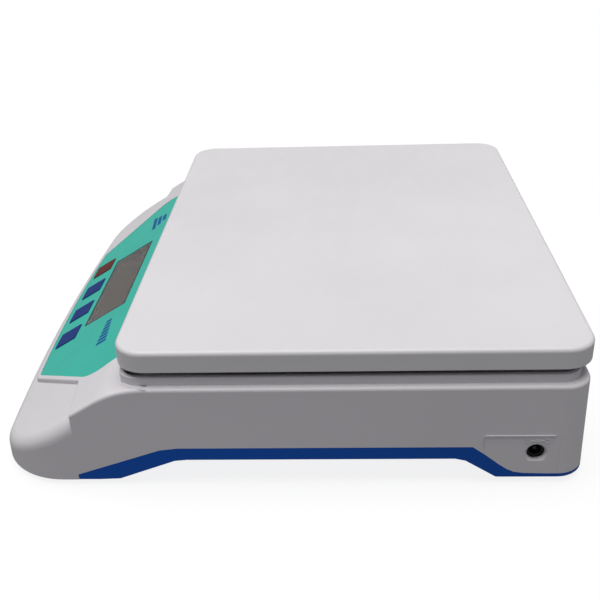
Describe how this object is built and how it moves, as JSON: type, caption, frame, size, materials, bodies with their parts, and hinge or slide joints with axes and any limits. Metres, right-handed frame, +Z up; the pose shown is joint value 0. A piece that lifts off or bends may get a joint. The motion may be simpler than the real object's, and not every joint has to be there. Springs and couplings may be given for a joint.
{
  "type": "counter scale",
  "caption": "Counter weighing scale with a lift-off tray on a load-cell spider, sloping keypad with display window, white housing on an arched blue base, adjustable feet.",
  "frame": {"origin": "middle of the footprint, on the surface the feet stand on", "axes": "+Z up, +X to the operator's right, along the longer side, +Y to the rear; the keypad faces -Y"},
  "size_m": [0.307, 0.2992, 0.0735],
  "materials": {
    "shell_white": "satin moulded ABS",
    "tray_white": "satin moulded ABS",
    "base_blue": "satin moulded ABS",
    "sheet_teal": "printed polyester sheet",
    "key_blue": "printed polyester over a pad",
    "key_red": "printed polyester over a pad",
    "window_clear": "clear acrylic",
    "lcd_grey": "unlit reflective display",
    "black_plastic": "moulded",
    "diffuser": "milky acrylic",
    "circuit_board": "solder resist",
    "aluminium_beam": "anodised, machined",
    "aluminium_cast": "die cast",
    "steel_zinc": "zinc plated",
    "rubber_black": "matt",
    "silicone_white": "matt",
    "battery_case": "moulded",
    "terminal_brass": "bright",
    "capacitor_sleeve": "shrink sleeve",
    "wire_grey": "PVC",
    "wire_red": "PVC"
  },
  "bodies": {
    "housing": {"backlight_panel": "diffuser", "battery": "battery_case", "battery_leads": "wire_red", "battery_strap": "steel_zinc", "battery_terminals": "terminal_brass", "board_parts": "black_plastic", "buzzer": "black_plastic", "capacitors": "capacitor_sleeve", "dc_jack": "black_plastic", "display_board": "circuit_board", "display_board_screws": "steel_zinc", "display_ribbon": "wire_grey", "display_window": "window_clear", "foot_nuts": "steel_zinc", "gauge_covers": "silicone_white", "housing_screws": "steel_zinc", "inlet_plate": "shell_white", "jack_board": "circuit_board", "jack_leads": "wire_red", "key_switches": "black_plastic", "lcd_holder": "black_plastic", "lcd_panel": "lcd_grey", "load_cell": "aluminium_beam", "load_cell_cable": "wire_grey", "lower_base": "base_blue", "lower_cell_screws": "steel_zinc", "lower_spacer": "aluminium_beam", "main_board": "circuit_board", "main_board_screws": "steel_zinc", "panel_overlay": "sheet_teal", "strap_screws": "steel_zinc", "upper_housing": "shell_white"},
    "carrier": {"spider": "aluminium_cast", "upper_spacer": "aluminium_beam", "upper_cell_screws": "steel_zinc", "stop_screws": "steel_zinc", "stop_nuts": "steel_zinc", "tray_pads": "rubber_black"},
    "tray": {"platter": "tray_white"},
    "red_key": {"red_key": "key_red", "red_key_plunger": "black_plastic"},
    "blue_key_left": {"blue_key_left": "key_blue", "blue_key_left_plunger": "black_plastic"},
    "blue_key_middle": {"blue_key_middle": "key_blue", "blue_key_middle_plunger": "black_plastic"},
    "blue_key_right": {"blue_key_right": "key_blue", "blue_key_right_plunger": "black_plastic"},
    "foot_front_right": {"foot_pad_front_right": "rubber_black", "foot_stud_front_right": "steel_zinc"},
    "foot_front_left": {"foot_pad_front_left": "rubber_black", "foot_stud_front_left": "steel_zinc"},
    "foot_rear_right": {"foot_pad_rear_right": "rubber_black", "foot_stud_rear_right": "steel_zinc"},
    "foot_rear_left": {"foot_pad_rear_left": "rubber_black", "foot_stud_rear_left": "steel_zinc"},
    "battery_door": {"battery_door": "base_blue"}
  },
  "joints": [
    {"name": "weighing_travel", "type": "slide", "parent": "housing", "child": "carrier", "axis": [0, 0, 1], "range_m": [-0.0005, 0], "stiffness_N_per_m": 590000, "springref_m": 0.00001, "deforming": ["load_cell"]},
    {"name": "tray_lift", "type": "slide", "parent": "carrier", "child": "tray", "axis": [0, 0, 1], "range_m": [0, 0.04]},
    {"name": "red_key_press", "type": "slide", "parent": "housing", "child": "red_key", "axis": [0, -0.515, 0.8572], "range_m": [-0.0004, 0], "stiffness_N_per_m": 4000, "springref_m": 0.0001},
    {"name": "blue_key_left_press", "type": "slide", "parent": "housing", "child": "blue_key_left", "axis": [0, -0.515, 0.8572], "range_m": [-0.0004, 0], "stiffness_N_per_m": 4000, "springref_m": 0.0001},
    {"name": "blue_key_middle_press", "type": "slide", "parent": "housing", "child": "blue_key_middle", "axis": [0, -0.515, 0.8572], "range_m": [-0.0004, 0], "stiffness_N_per_m": 4000, "springref_m": 0.0001},
    {"name": "blue_key_right_press", "type": "slide", "parent": "housing", "child": "blue_key_right", "axis": [0, -0.515, 0.8572], "range_m": [-0.0004, 0], "stiffness_N_per_m": 4000, "springref_m": 0.0001},
    {"name": "foot_front_right_height", "type": "slide", "parent": "housing", "child": "foot_front_right", "axis": [0, 0, -1], "range_m": [0, 0.004]},
    {"name": "foot_front_left_height", "type": "slide", "parent": "housing", "child": "foot_front_left", "axis": [0, 0, -1], "range_m": [0, 0.004]},
    {"name": "foot_rear_right_height", "type": "slide", "parent": "housing", "child": "foot_rear_right", "axis": [0, 0, -1], "range_m": [0, 0.004]},
    {"name": "foot_rear_left_height", "type": "slide", "parent": "housing", "child": "foot_rear_left", "axis": [0, 0, -1], "range_m": [0, 0.004]},
    {"name": "battery_door_hinge", "type": "hinge", "parent": "housing", "child": "battery_door", "pos_m": [-0.088, 0.0657, 0.0156], "axis": [1, 0, 0], "range_deg": [0, 80]}
  ]
}
